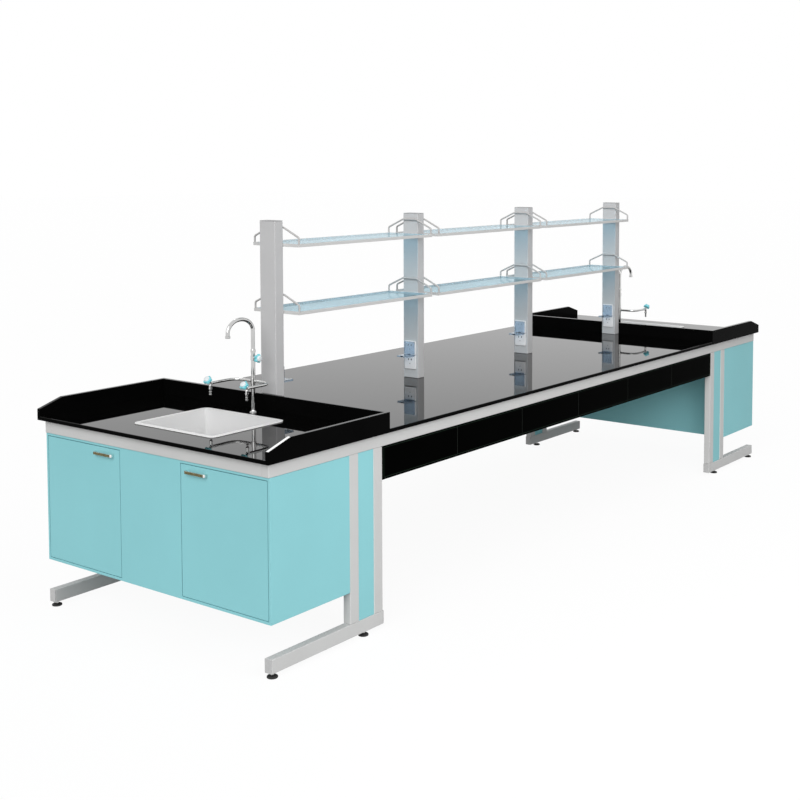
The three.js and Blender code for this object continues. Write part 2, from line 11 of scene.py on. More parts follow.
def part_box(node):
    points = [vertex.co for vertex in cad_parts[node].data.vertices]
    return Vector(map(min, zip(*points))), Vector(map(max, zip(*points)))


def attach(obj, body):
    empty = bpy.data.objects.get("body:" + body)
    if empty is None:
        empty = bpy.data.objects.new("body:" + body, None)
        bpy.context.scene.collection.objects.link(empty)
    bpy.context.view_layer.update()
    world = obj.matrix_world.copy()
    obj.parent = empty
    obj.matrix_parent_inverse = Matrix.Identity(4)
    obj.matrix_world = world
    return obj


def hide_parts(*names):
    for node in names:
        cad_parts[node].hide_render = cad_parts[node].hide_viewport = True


bl_info = {
    "name": "Laboratory bench",
    "version": (1, 0, 0),
    "blender": (4, 5, 0),
    "location": "3D View > Sidebar > Bench",
    "description": "Dresses the packed laboratory bench and sets up its stage",
    "category": "Object",
}

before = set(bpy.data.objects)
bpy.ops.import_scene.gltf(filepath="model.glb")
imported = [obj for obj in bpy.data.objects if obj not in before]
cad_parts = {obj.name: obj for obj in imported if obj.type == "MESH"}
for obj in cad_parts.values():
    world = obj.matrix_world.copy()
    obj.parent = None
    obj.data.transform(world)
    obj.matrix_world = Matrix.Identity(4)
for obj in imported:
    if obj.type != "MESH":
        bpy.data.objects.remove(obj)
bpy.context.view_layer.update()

ENDS = (("near", False), ("far", True))
SIDES = (("front", -1), ("rear", 1))
LEVELS = ("lower", "upper")
SHELF_BOTTOMS = [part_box(f"shelf_frame_{level}_1")[0].z for level in LEVELS]
POST_DEPTH = 0.055
POST_FACING = (1, -1, -1, -1)  # the side of each post that carries its sockets


def post_middle(number, facing):
    """Middle of a post along the bench, without its sockets."""
    low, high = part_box(f"post_{number}")
    return low.x + POST_DEPTH / 2 if facing > 0 else high.x - POST_DEPTH / 2


POST_X = [post_middle(number, facing) for number, facing in enumerate(POST_FACING, 1)]


def colour(name, words, default):
    """A colour property, in linear values."""
    return FloatVectorProperty(
        name=name, description=words, default=default, size=3, min=0, max=1, subtype="COLOR"
    )


def length(name, words, default):
    """A length property, in metres."""
    return FloatProperty(name=name, description=words, default=default, min=0, unit="LENGTH")


class BenchColours(bpy.types.PropertyGroup):
    """Colours of the bench's finishes"""

    teal: colour("Panel teal", "Powder coat of the cabinets and infills", (0.305, 0.675, 0.72))
    # painted shade: the edges round the doors and doorways are painted darker teal where the gaps
    # lie in shade
    reveal: colour("Reveal teal", "Shaded edges round the doors", (0.24, 0.56, 0.61))
    grey: colour("Frame grey", "Powder coat of the steel frame", (0.645, 0.645, 0.64))
    post: colour("Post grey", "Powder coat of the posts", (0.56, 0.56, 0.565))
    # painted shade below the panes, tinted blue as a painted reflection of the glass
    cast: colour("Glass cast", "Blue cast on the posts below the panes", (0.36, 0.43, 0.475))
    black: colour("Worktop black", "Body of the laminate tops", (0.002, 0.002, 0.002))
    fascia: colour("Fascia black", "Paint of the fascia", (0.0004, 0.0005, 0.0004))
    # the fine line is lighter than the fascia as a painted highlight at the panel's bevel
    trim: colour("Fascia trim", "Fine line round the fascia", (0.013, 0.023, 0.016))
    seam: colour("Fascia seam", "Strips in the fascia's seams", (0.022, 0.026, 0.023))
    glaze: colour("Rim white", "Glaze of the sinks' rims", (0.95, 0.95, 0.95))
    # the bowl's white is the rim's glaze made darker as painted shade inside the sinks
    bowl: colour("Bowl white", "Glaze inside the sinks", (0.75, 0.75, 0.75))
    glass: colour("Shelf glass", "Tint of the shelf panes", (0.52, 0.69, 0.76))
    cover: colour("Cover blue", "Tint of the socket covers", (0.505, 0.595, 0.68))
    knob: colour("Knob teal", "Plastic of the tap knobs", (0.20, 0.66, 0.74))
    socket: colour("Socket white", "Plastic of the socket plates", (0.84, 0.84, 0.85))


class BenchSizes(bpy.types.PropertyGroup):
    """Sizes of the bench's small details"""

    top_round: length("Worktop edge", "Rounding of the worktop edges", 0.003)
    tube_round: length("Tube edge", "Rounding of the steel tube edges", 0.003)
    sheet_round: length("Sheet edge", "Rounding of the folded sheet edges", 0.0012)
    knob_radius: length("Knob radius", "Mean radius of the lobed knobs", 0.019)
    handle_thick: length("Handle strip", "Thickness of the door handles' strip", 0.005)


def sizes():
    return bpy.context.scene.bench_sizes


def colours():
    return bpy.context.scene.bench_colours


# Finishes, with bumps given as scale, strength and distance

NOISE_LOW, NOISE_HIGH = 0.3, 0.7  # where most of a noise lies
TEAL_SKIN = (1400, 0.10, 0.0004)
GREY_SKIN = (1600, 0.10, 0.0004)
GLAZE_SKIN = (60, 0.02, 0.0005)


def blank_material(name):
    """A new material, its node tree and its shader."""
    made = bpy.data.materials.new(name)
    made.use_nodes = True
    return made, made.node_tree, made.node_tree.nodes["Principled BSDF"]


def give(tree, node, **inputs):
    """Gives a node's inputs their values, or links them to other nodes' outputs."""
    for name, value in inputs.items():
        socket = node.inputs[name.replace("_", " ")]
        if isinstance(value, bpy.types.NodeSocket):
            tree.links.new(value, socket)
        else:
            socket.default_value = value


def add(tree, kind, settings=(), **inputs):
    """Adds a node with its settings and its inputs."""
    made = tree.nodes.new(f"ShaderNode{kind}")
    for name, value in dict(settings).items():
        setattr(made, name, value)
    give(tree, made, **inputs)
    return made


def grain(tree, scale, detail=3.0):
    """A noise over the object's own coordinates."""
    place = add(tree, "TexCoord").outputs["Object"]
    return add(tree, "TexNoise", Vector=place, Scale=scale, Detail=detail).outputs["Fac"]


def spread(tree, value, low, high):
    """Maps a noise onto a range."""
    ends = {"From_Min": NOISE_LOW, "From_Max": NOISE_HIGH, "To_Min": low, "To_Max": high}
    return add(tree, "MapRange", Value=value, **ends).outputs["Result"]


def mix_colours(tree, share, first, second):
    """The first colour, with a share of the second in it."""
    mix = add(tree, "Mix", {"data_type": "RGBA"}, A=first, B=second, Factor=share)
    return mix.outputs["Result"]


def mix_shaders(tree, share, first, second):
    """The first shader, with a share of the second in its place."""
    mix = add(tree, "MixShader", Fac=share)
    tree.links.new(first.outputs[0], mix.inputs[1])
    tree.links.new(second.outputs[0], mix.inputs[2])
    return mix.outputs["Shader"]


def worked(tree, operation, first, second=None):
    """A math operation on a value, and a second value or number if it takes one."""
    made = add(tree, "Math", {"operation": operation})
    tree.links.new(first, made.inputs[0])
    if isinstance(second, float):
        made.inputs[1].default_value = second
    elif second:
        tree.links.new(second, made.inputs[1])
    return made.outputs["Value"]


def shaded(tree, value, base, share):
    """A colour that varies by a share either side of its base."""
    dark = (*[c * (1 - share) for c in base], 1)
    light = (*[min(1, c * (1 + share)) for c in base], 1)
    return mix_colours(tree, spread(tree, value, 0, 1), dark, light)


def rough_skin(tree, shader, scale, strength, distance):
    """A fine bump on the shader."""
    height = grain(tree, scale, 2.0)
    bump = add(tree, "Bump", Strength=strength, Distance=distance, Height=height)
    give(tree, shader, Normal=bump.outputs["Normal"])


def finish(name, base, rough, share, scale, skin=None, **sockets):
    """A finish whose colour varies by a share and whose roughness lies in a range."""
    known = bpy.data.materials.get(name)
    if known:
        return known
    made, tree, shader = blank_material(name)
    tone = shaded(tree, grain(tree, scale), base, share)
    dullness = spread(tree, grain(tree, scale * 3), *rough)
    give(tree, shader, Base_Color=tone, Roughness=dullness, **sockets)
    if skin:
        rough_skin(tree, shader, *skin)
    return made


def teal_coat():
    return finish("teal_powder_coat", colours().teal, (0.38, 0.46), 0.02, 2.5, TEAL_SKIN, IOR=1.16)


# darker teal as painted shade in the gaps round the doors
def gap_painted_shade_coat():
    return finish("gap_painted_shade_teal", colours().reveal, (0.55, 0.70), 0.06, 12)


def grey_coat():
    return finish("grey_powder_coat", colours().grey, (0.40, 0.50), 0.02, 4, GREY_SKIN, IOR=1.3)


def black_top():
    return finish("black_laminate", colours().black, (0.012, 0.03), 0.2, 1.5, IOR=1.26)


def black_edge():
    return finish("black_edge", colours().black, (0.20, 0.30), 0.2, 4, IOR=1.05)


def black_fascia():
    skin = (1600, 0.08, 0.0004)
    return finish("black_fascia_coat", colours().fascia, (0.30, 0.42), 0.2, 5, skin, IOR=1.03)


# lighter than the fascia as a painted highlight at the panel's bevel
def fascia_line_painted_highlight():
    return finish("fascia_line_painted_highlight", colours().trim, (0.45, 0.60), 0.2, 9, IOR=1.06)


def seam_strip():
    return finish("fascia_seam", colours().seam, (0.45, 0.60), 0.2, 9, IOR=1.06)


def chrome():
    return finish("chrome", (0.58, 0.58, 0.575), (0.05, 0.10), 0.06, 30, Metallic=1.0)


# the handle is chrome throughout: this lighter copy on its bends is a painted highlight
def handle_chrome_painted_highlight():
    return finish("handle_chrome_painted_highlight", (0.82, 0.82, 0.80), (0.06, 0.12), 0.06, 60, Metallic=1.0)


# a darker copy of the handle's chrome on its flats, as a painted reflection
def handle_painted_dark_reflection():
    return finish("handle_painted_dark_reflection", (0.15, 0.13, 0.065), (0.14, 0.26), 0.30, 90, Metallic=1.0)


def white_glaze():
    return finish("white_glaze", colours().glaze, (0.28, 0.36), 0.01, 8, GLAZE_SKIN, IOR=1.3)


# the rim's glaze, darker as painted shade
def bowl_glaze_painted_shade():
    return finish("bowl_glaze_painted_shade", colours().bowl, (0.30, 0.40), 0.01, 8, GLAZE_SKIN, IOR=1.2)


def socket_plastic():
    return finish("socket_plastic", colours().socket, (0.28, 0.36), 0.02, 40, (2500, 0.06, 0.0002))


# the socket holes are flat dark plates: painted shade where the openings would be
def painted_hole_shade():
    return finish("painted_hole_shade", (0.012, 0.012, 0.014), (0.6, 0.8), 0.2, 90)


def knob_plastic():
    return finish("knob_plastic", colours().knob, (0.25, 0.35), 0.04, 60, (2200, 0.06, 0.0002))


def cap_plastic():
    return finish("cap_plastic", (0.78, 0.84, 0.86), (0.20, 0.30), 0.03, 60, (2200, 0.05, 0.0002))


def cap_coat():
    return finish("post_cap_coat", colours().post, (0.55, 0.65), 0.02, 12, IOR=1.03)


def grey_plastic():
    return finish("grey_plastic", (0.55, 0.55, 0.55), (0.45, 0.60), 0.04, 40, (1800, 0.10, 0.0003))


def black_rubber():
    return finish("black_rubber", (0.012, 0.012, 0.012), (0.55, 0.75), 0.25, 80, (900, 0.2, 0.0004))


def steel_thread():
    return finish("zinc_steel", (0.55, 0.55, 0.54), (0.25, 0.40), 0.08, 120, Metallic=1.0)


def see_through(name, base, roughness, ior, clear):
    """A tinted clear finish that lets lamps through to what stands under it."""
    known = bpy.data.materials.get(name)
    if known:
        return known
    made, tree, shader = blank_material(name)
    tone = shaded(tree, grain(tree, 3), base, 0.03)
    give(tree, shader, Base_Color=tone, Roughness=roughness, IOR=ior, Transmission_Weight=clear)
    passing = add(tree, "BsdfTransparent", Color=(*[0.5 + 0.5 * c for c in base], 1))
    shadow = add(tree, "LightPath").outputs["Is Shadow Ray"]
    mixed = mix_shaders(tree, shadow, shader, passing)
    give(tree, tree.nodes["Material Output"], Surface=mixed)
    return made


def shelf_glass():
    return see_through("tinted_pane", colours().glass, 0.02, 1.02, 0.75)


def cover_plastic():
    return see_through("blue_cover_plastic", colours().cover, 0.05, 1.35, 0.85)


# dark as painted shade at the covers' free edges
def latch_painted_shade():
    return finish("latch_painted_shade", (0.02, 0.03, 0.05), (0.30, 0.42), 0.10, 60)


def seen_rays(tree):
    """1 for what the camera sees, straight or in metal and glass."""
    rays = add(tree, "LightPath")
    seen = rays.outputs["Is Camera Ray"]
    for kind in ("Is Glossy Ray", "Is Transmission Ray"):
        seen = worked(tree, "MAXIMUM", seen, rays.outputs[kind])
    return seen


PAINTED_SHADE_REACH = 0.26  # how far below a pane the painted shade reaches
PAINTED_SHADE_LEAST = 0.15
PAINTED_SHADE_LAP = 0.002
PAINTED_SHADE_END = POST_X[-1] + POST_DEPTH / 2 - 0.005  # the outermost faces get no painted shade


def post_coat_painted_shade():
    """Grey coat with painted shade below each glass pane, tinted blue as a painted reflection of
    the glass, on the faces that meet a shelf.
    """
    name = "post_grey_with_painted_shade"
    known = bpy.data.materials.get(name)
    if known:
        return known
    made, tree, shader = blank_material(name)
    place = add(tree, "TexCoord")
    spot = add(tree, "SeparateXYZ", Vector=place.outputs["Object"])
    facing = add(tree, "SeparateXYZ", Vector=place.outputs["Normal"])
    height = spot.outputs["Z"]
    painted_shades = []
    for bottom in SHELF_BOTTOMS:
        ends = {"From_Min": bottom - PAINTED_SHADE_REACH, "From_Max": bottom, "To_Min": PAINTED_SHADE_LEAST}
        fade = add(tree, "MapRange", {"interpolation_type": "SMOOTHSTEP"}, Value=height, **ends)
        under = worked(tree, "LESS_THAN", height, bottom + PAINTED_SHADE_LAP)
        painted_shades.append(worked(tree, "MULTIPLY", fade.outputs["Result"], under))
    most = worked(tree, "MAXIMUM", *painted_shades)
    from_middle = worked(tree, "ABSOLUTE", spot.outputs["X"])
    inner = worked(tree, "LESS_THAN", from_middle, PAINTED_SHADE_END)
    met = worked(tree, "MULTIPLY", inner, worked(tree, "ABSOLUTE", facing.outputs["X"]))
    share = worked(tree, "MULTIPLY", most, met)
    plain = shaded(tree, grain(tree, 5), colours().post, 0.02)
    # the posts take the painted shade and blue painted reflection below each pane
    tone = mix_colours(tree, share, plain, (*colours().cast, 1))
    dullness = spread(tree, grain(tree, 12), 0.40, 0.50)
    give(tree, shader, Base_Color=tone, Roughness=dullness)
    rough_skin(tree, shader, *GREY_SKIN)
    return made


def shelf_coat():
    return finish("shelf_powder_coat", colours().grey, (0.38, 0.48), 0.02, 5, GREY_SKIN)


def guard_coat():
    return finish("guard_powder_coat", (0.50, 0.49, 0.485), (0.45, 0.55), 0.02, 30)


# Shapes

UP = Vector((0, 0, 1))
HALF_TURN = Matrix.Rotation(math.pi, 3, "Z")
MERGE = 1e-6
CAD_MERGE = 2e-6
CAD_FLAT = math.radians(0.5)  # between triangles of one flat face
FINE_ROUND = 0.0008
SOFT_ROUND = 0.0015


def block(bm, low, high):
    """Adds a rectangular block."""
    low, high = Vector(low), Vector(high)
    verts = bmesh.ops.create_cube(bm, size=1)["verts"]
    bmesh.ops.scale(bm, vec=high - low, verts=verts)
    bmesh.ops.translate(bm, vec=(low + high) / 2, verts=verts)


def solid(low, high):
    """A shape of one rectangular block."""
    bm = bmesh.new()
    block(bm, low, high)
    return bm


def bevel(bm, edges, width, segments, clamp=False):
    """Rounds the given edges to an arc."""
    bmesh.ops.bevel(
        bm, geom=edges, offset=width, offset_type="OFFSET", affect="EDGES",
        segments=segments, profile=0.5, material=-1, clamp_overlap=clamp,
    )


def round_edges(bm, width, segments=3, angle=35, outer=False):
    """Rounds every edge that is sharper than the angle, or only the outward ones."""
    sharp = math.radians(angle)
    edges = [e for e in bm.edges if len(e.link_faces) == 2 and e.calc_face_angle(0) > sharp]
    if outer:
        edges = [e for e in edges if e.is_convex]
    bevel(bm, edges, width, segments, clamp=True)


def stand(bm, turn, place):
    """Turns a shape about the origin, then moves it to its place."""
    bmesh.ops.rotate(bm, cent=(0, 0, 0), matrix=turn, verts=bm.verts)
    bmesh.ops.translate(bm, vec=place, verts=bm.verts)


def outward(bm):
    """Turns every face of a shape outward."""
    bmesh.ops.recalc_face_normals(bm, faces=bm.faces)


def along(axis):
    """The turn that lays +Z along an axis."""
    return UP.rotation_difference(Vector(axis)).to_matrix()


def node_copy(node):
    """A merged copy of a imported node, with its flat faces made whole."""
    bm = bmesh.new()
    bm.from_mesh(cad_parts[node].data)
    bmesh.ops.remove_doubles(bm, verts=bm.verts, dist=CAD_MERGE)
    bmesh.ops.dissolve_limit(bm, angle_limit=CAD_FLAT, verts=bm.verts, edges=bm.edges)
    return bm


def take_in(bm, other):
    """Adds another shape to this one."""
    mesh = bpy.data.meshes.new("part")
    other.to_mesh(mesh)
    other.free()
    bm.from_mesh(mesh)
    bpy.data.meshes.remove(mesh)


def new_parts(made, kind):
    """The corners or the faces among what an extrusion made."""
    return [part for part in made["geom"] if isinstance(part, kind)]


def top_and_bottom(bm):
    """The highest and the lowest face of a shape."""
    faces = sorted(bm.faces, key=lambda face: face.calc_center_median().z)
    return faces[-1], faces[0]


def drawn(bm, face, border, depth):
    """Draws the middle of a face straight down, and gives the new floor."""
    bmesh.ops.inset_region(bm, faces=[face], thickness=border, use_even_offset=True)
    made = bmesh.ops.extrude_face_region(bm, geom=[face])
    bmesh.ops.delete(bm, geom=[face], context="FACES_ONLY")
    bmesh.ops.translate(bm, vec=-depth * UP, verts=new_parts(made, bmesh.types.BMVert))
    return new_parts(made, bmesh.types.BMFace)[0]


def turned(profile, steps=40, base=(0, 0, 0), axis=UP):
    """A shape turned from (radius, height) points, stood on a base along an axis."""
    bm = bmesh.new()
    verts = [bm.verts.new((radius, 0, height)) for radius, height in profile]
    edges = [bm.edges.new(pair) for pair in zip(verts, verts[1:])]
    bmesh.ops.spin(
        bm, geom=verts + edges, cent=(0, 0, 0), axis=UP,
        angle=2 * math.pi, steps=steps, use_merge=True,
    )
    bmesh.ops.remove_doubles(bm, verts=bm.verts, dist=MERGE)
    outward(bm)
    stand(bm, along(axis), base)
    return bm


def bent_path(corners, bends, steps=8):
    """Points along straight runs whose inner corners are rounded by their bends."""
    corners = [Vector(c) for c in corners]
    points = [corners[0]]
    for before, corner, after, bend in zip(corners, corners[1:], corners[2:], bends):
        start = corner + (before - corner).normalized() * bend
        stop = corner + (after - corner).normalized() * bend
        for i in range(steps + 1):
            t = i / steps
            points.append(start * (1 - t) ** 2 + corner * 2 * t * (1 - t) + stop * t**2)
    points.append(corners[-1])
    return points


def rod(points, radius, resolution=4):
    """A round rod along points, with closed ends."""
    curve = bpy.data.curves.new("rod_path", "CURVE")
    curve.dimensions = "3D"
    curve.bevel_depth = radius
    curve.bevel_resolution = resolution
    curve.use_fill_caps = True
    spline = curve.splines.new("POLY")
    spline.points.add(len(points) - 1)
    for point, place in zip(spline.points, points):
        point.co = (*place, 1)
    holder = bpy.data.objects.new("rod_path", curve)
    bpy.context.scene.collection.objects.link(holder)
    seen = holder.evaluated_get(bpy.context.evaluated_depsgraph_get())
    mesh = bpy.data.meshes.new_from_object(seen)
    bm = bmesh.new()
    bm.from_mesh(mesh)
    bpy.data.objects.remove(holder)
    bpy.data.curves.remove(curve)
    bpy.data.meshes.remove(mesh)
    bmesh.ops.remove_doubles(bm, verts=bm.verts, dist=MERGE)
    outward(bm)
    return bm


def rounded_plate(half_x, half_y, bottom, top, corner, steps=6):
    """A plate about the Z axis whose four corners in plan are rounded."""
    bm = solid((-half_x, -half_y, bottom), (half_x, half_y, top))
    uprights = [e for e in bm.edges if abs(e.verts[0].co.z - e.verts[1].co.z) > MERGE]
    bevel(bm, uprights, corner, steps)
    return bm


def piece(name, bm, material, node=None, body="bench", smooth=40, far=False):
    """Makes a piece of a shape, turned round for the far end, and sets it on its body."""
    if far:
        bmesh.ops.rotate(bm, cent=(0, 0, 0), matrix=HALF_TURN, verts=bm.verts)
    mesh = bpy.data.meshes.new(name)
    bm.to_mesh(mesh)
    bm.free()
    mesh.materials.append(material)
    mesh.shade_smooth()
    mesh.set_sharp_from_angle(angle=math.radians(smooth))
    made = bpy.data.objects.new(name, mesh)
    bpy.context.scene.collection.objects.link(made)
    weights = made.modifiers.new("even_shading", "WEIGHTED_NORMAL")
    weights.keep_sharp = True
    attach(made, body)
    if node:
        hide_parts(node)
    return made


def two_tone(made, second, test):
    """Gives the faces that pass a test a second finish."""
    made.data.materials.append(second)
    for face in made.data.polygons:
        if test(face):
            face.material_index = 1


def dressed(node, material, width, segments=3, body="bench", smooth=40, outer=False):
    """Stands a rounded copy of a node in its place."""
    bm = node_copy(node)
    round_edges(bm, width, segments, outer=outer)
    return piece(f"{node}_body", bm, material, node, body, smooth)


# Worktops

TOP_SMOOTH = 8  # degrees, so that the flats mirror truly
POLISHED_UP = 0.5  # least rise of a polished face's normal


class BENCH_OT_worktops(bpy.types.Operator):
    """Polished black tops, with splashbacks round the sink stations"""

    bl_idname = "bench.worktops"
    bl_label = "Worktops"

    def execute(self, context):
        width = sizes().top_round
        for node in ("worktop_main", "sink_top_near", "sink_top_far"):
            made = dressed(node, black_top(), width, smooth=TOP_SMOOTH, outer=True)
            two_tone(made, black_edge(), lambda face: face.normal.z < POLISHED_UP)
        return {"FINISHED"}


# Steel frame

RAIL_LOW, RAIL_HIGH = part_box("top_frame")
END_LOW, END_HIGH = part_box("end_frame_near_rear")
TUBE = 0.040
WELD_LAP = 0.0002  # of a cross tube in a rail
BEARER_X = (-1.698, -0.541, 0.541, 1.698)
FOOT_TOP = END_LOW.z + 0.060
FOOT_PROUD = 0.007  # past the inner upright
UPRIGHT = 0.058
HAIRLINE = 0.0002  # between the foot, the uprights and the rail
INFILL = 0.101
INFILL_RECESS = 0.002
INFILL_FOOT = 0.0005
CAP_THICK = 0.0037
CAP_ROOM = 0.004
CAP_INSET = 0.0005


class BENCH_OT_frames(bpy.types.Operator):
    """Steel rail under the tops, C-shaped end frames and their teal infills"""

    bl_idname = "bench.frames"
    bl_label = "Steel frame"

    def execute(self, context):
        self.top_frame()
        for end, far in ENDS:
            for side_name, side in SIDES:
                self.end_frame(end, far, side_name, -side if far else side)
        return {"FINISHED"}

    def top_frame(self):
        """Two long rails, two end rails and the cross bearers."""
        bm = bmesh.new()
        low, high = RAIL_LOW.z, RAIL_HIGH.z
        inner = RAIL_HIGH.y - TUBE
        lap = inner + WELD_LAP
        for side in (-1, 1):
            y0, y1 = sorted((side * inner, side * RAIL_HIGH.y))
            block(bm, (RAIL_LOW.x, y0, low), (RAIL_HIGH.x, y1, high))
            x0, x1 = sorted((side * (RAIL_HIGH.x - TUBE), side * RAIL_HIGH.x))
            block(bm, (x0, -lap, low), (x1, lap, high))
        for x in BEARER_X:
            block(bm, (x - TUBE / 2, -lap, low), (x + TUBE / 2, lap, high))
        round_edges(bm, sizes().tube_round)
        piece("top_frame_body", bm, grey_coat(), "top_frame")

    def end_frame(self, end, far, side_name, side):
        """A foot tube, two uprights, the infill between them and the foot's end caps."""
        name = f"{end}_{side_name}"
        y0, y1 = sorted((side * END_LOW.y, side * END_HIGH.y))
        infill_x1 = END_HIGH.x - FOOT_PROUD - UPRIGHT
        infill_x0 = infill_x1 - INFILL
        tubes = bmesh.new()
        block(tubes, (END_LOW.x + CAP_ROOM, y0, END_LOW.z), (END_HIGH.x - CAP_ROOM, y1, FOOT_TOP))
        for x in (infill_x0 - UPRIGHT, infill_x1):
            block(tubes, (x, y0, FOOT_TOP + HAIRLINE), (x + UPRIGHT, y1, END_HIGH.z))
        round_edges(tubes, sizes().tube_round)
        piece(f"frame_{name}", tubes, grey_coat(), f"end_frame_{name}", far=far)
        infill = solid(
            (infill_x0, y0 + INFILL_RECESS, FOOT_TOP + INFILL_FOOT),
            (infill_x1, y1 - INFILL_RECESS, END_HIGH.z - HAIRLINE),
        )
        round_edges(infill, sizes().sheet_round, 2)
        piece(f"infill_{name}", infill, teal_coat(), far=far)
        caps = bmesh.new()
        for x in (END_LOW.x, END_HIGH.x - CAP_THICK):
            block(
                caps,
                (x, y0 + CAP_INSET, END_LOW.z + CAP_INSET),
                (x + CAP_THICK, y1 - CAP_INSET, FOOT_TOP - CAP_INSET),
            )
        round_edges(caps, SOFT_ROUND)
        piece(f"foot_caps_{name}", caps, grey_plastic(), far=far)


# Fascias, with places across them measured from the face

FASCIA_LOW, FASCIA_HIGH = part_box("apron_rear")
FASCIA_SECTIONS = 6
FASCIA_SECTION = 2 * FASCIA_HIGH.x / FASCIA_SECTIONS
TRIM_LINES = (FASCIA_LOW.z + 0.0103, FASCIA_HIGH.z - 0.0067)
TRIM_END = FASCIA_HIGH.x - 0.010
TRIM_HALF = 0.0012
TRIM_CLEAR = 0.0001
TRIM_ACROSS = (-0.0002, 0.0003)
SEAM_HALF = 0.0013
SEAM_SHORT = 0.0020  # from a trim line to the end of a seam strip
SEAM_ACROSS = (-0.0030, -0.0005)


class BENCH_OT_fascias(bpy.types.Operator):
    """Black fascia panels along both long sides, each with a fine trim line"""

    bl_idname = "bench.fascias"
    bl_label = "Fascias"

    def execute(self, context):
        for side_name, side in SIDES:
            node = f"apron_{side_name}"
            dressed(node, black_fascia(), FINE_ROUND, 2)
            self.trim(f"fascia_line_painted_highlight_{side_name}", side)
        return {"FINISHED"}

    def trim(self, name, side):
        """A fine line just inside the fascia's edges, lighter as a painted highlight at the panel's
        bevel, and a strip in each seam.
        """
        bm = bmesh.new()
        low, high = TRIM_LINES
        y0, y1 = sorted(side * (FASCIA_HIGH.y + off) for off in TRIM_ACROSS)
        for z in TRIM_LINES:
            block(bm, (-TRIM_END, y0, z - TRIM_HALF), (TRIM_END, y1, z + TRIM_HALF))
        short = TRIM_HALF + TRIM_CLEAR
        for x in (TRIM_HALF - TRIM_END, TRIM_END - TRIM_HALF):
            block(bm, (x - TRIM_HALF, y0, low + short), (x + TRIM_HALF, y1, high - short))
        y0, y1 = sorted(side * (FASCIA_HIGH.y + off) for off in SEAM_ACROSS)
        for i in range(1, FASCIA_SECTIONS):
            x = FASCIA_LOW.x + FASCIA_SECTION * i
            block(bm, (x - SEAM_HALF, y0, low + SEAM_SHORT), (x + SEAM_HALF, y1, high - SEAM_SHORT))
        made = piece(name, bm, fascia_line_painted_highlight())
        two_tone(made, seam_strip(), self.in_seam)

    def in_seam(self, face):
        """Whether a face of the trim is on a strip in a seam."""
        low, high = TRIM_LINES
        short = (TRIM_HALF + SEAM_SHORT) / 2
        inside = abs(face.center.x) < FASCIA_HIGH.x - FASCIA_SECTION / 2
        return inside and low + short < face.center.z < high - short


# Posts and sockets, with a socket's heights measured from the post's face

POST_CAP = 0.003
POST_CAP_JOINT = 0.0005
POST_CAP_INSET = 0.0003
SOCKET_BOTTOMS = {"lower": 0.950, "upper": 1.029}
PLATE_HALF = 0.037
PLATE_THICK = 0.0075
PLATE_CORNER = 0.004
PLATE_ROUND = 0.0012
INSERT_HALF = 0.027
INSERT_HEIGHTS = (0.0072, 0.0080)
INSERT_CORNER = 0.003
INSERT_ROUND = 0.0002
OUTLET_DROP = 0.008
OUTLET_BOSS = ((0, 0.0078), (0.0085, 0.0078), (0.0085, 0.0081), (0.0075, 0.0083), (0, 0.0083))
OUTLET_HOLE = ((0, 0.0081), (0.0024, 0.0081), (0.0024, 0.0085), (0, 0.0085))
PIN_RISE = 0.015
PIN_SPREAD = 0.010
PIN_HALVES = (0.0048, 0.0028)
PIN_HEIGHTS = (0.0079, 0.0082)
PIN_CORNER = 0.0026


class BENCH_OT_posts(bpy.types.Operator):
    """Posts of the reagent shelf, with two socket plates on each"""

    bl_idname = "bench.posts"
    bl_label = "Posts and sockets"

    def execute(self, context):
        for number, (x, facing) in enumerate(zip(POST_X, POST_FACING), 1):
            self.post(number, x - POST_DEPTH / 2, x + POST_DEPTH / 2)
            face = x + facing * POST_DEPTH / 2
            for level, bottom in SOCKET_BOTTOMS.items():
                self.socket(f"{level}_{number}", face, facing, bottom)
        return {"FINISHED"}

    def post(self, number, x0, x1):
        """A square column with a thin cap."""
        node = f"post_{number}"
        low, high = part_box(node)
        cap_foot = high.z - POST_CAP
        column = solid((x0, low.y, low.z), (x1, high.y, cap_foot - POST_CAP_JOINT))
        round_edges(column, sizes().tube_round)
        piece(f"post_column_{number}", column, post_coat_painted_shade(), node)
        inset = Vector((POST_CAP_INSET, POST_CAP_INSET, 0))
        cap = solid(Vector((x0, low.y, cap_foot)) + inset, Vector((x1, high.y, high.z)) - inset)
        round_edges(cap, sizes().sheet_round)
        piece(f"post_cap_{number}", cap, cap_coat())

    def socket(self, name, face, facing, bottom):
        """A plate with a raised insert, and two pin holes and a round lower outlet drawn as dark
        plates of painted shade.
        """
        up = -facing
        outlet = (-up * OUTLET_DROP, 0, 0)
        plate = rounded_plate(PLATE_HALF, PLATE_HALF, 0, PLATE_THICK, PLATE_CORNER)
        round_edges(plate, PLATE_ROUND)
        insert = rounded_plate(INSERT_HALF, INSERT_HALF, *INSERT_HEIGHTS, INSERT_CORNER)
        round_edges(insert, INSERT_ROUND, 1)
        take_in(insert, turned(OUTLET_BOSS, 32, outlet))
        holes = bmesh.new()
        for y in (-PIN_SPREAD, PIN_SPREAD):
            pin = rounded_plate(*PIN_HALVES, *PIN_HEIGHTS, PIN_CORNER)
            bmesh.ops.translate(pin, vec=(up * PIN_RISE, y, 0), verts=pin.verts)
            take_in(holes, pin)
        take_in(holes, turned(OUTLET_HOLE, 20, outlet))
        turn = Matrix.Rotation(facing * math.pi / 2, 3, "Y")
        for bm in (plate, insert, holes):
            stand(bm, turn, (face, 0, bottom + PLATE_HALF))
        piece(f"socket_plate_{name}", plate, socket_plastic())
        piece(f"socket_insert_{name}", insert, socket_plastic())
        # dark plates as painted shade in the holes
        piece(f"socket_holes_{name}", holes, painted_hole_shade())


# Socket covers

CATCH_HALF = 0.009
CATCH_INSET = 0.002  # from either face of the cover
CATCH_PROUD = 0.0016
CATCH_SUNK = 0.0010
CATCH_ROUND = 0.0006


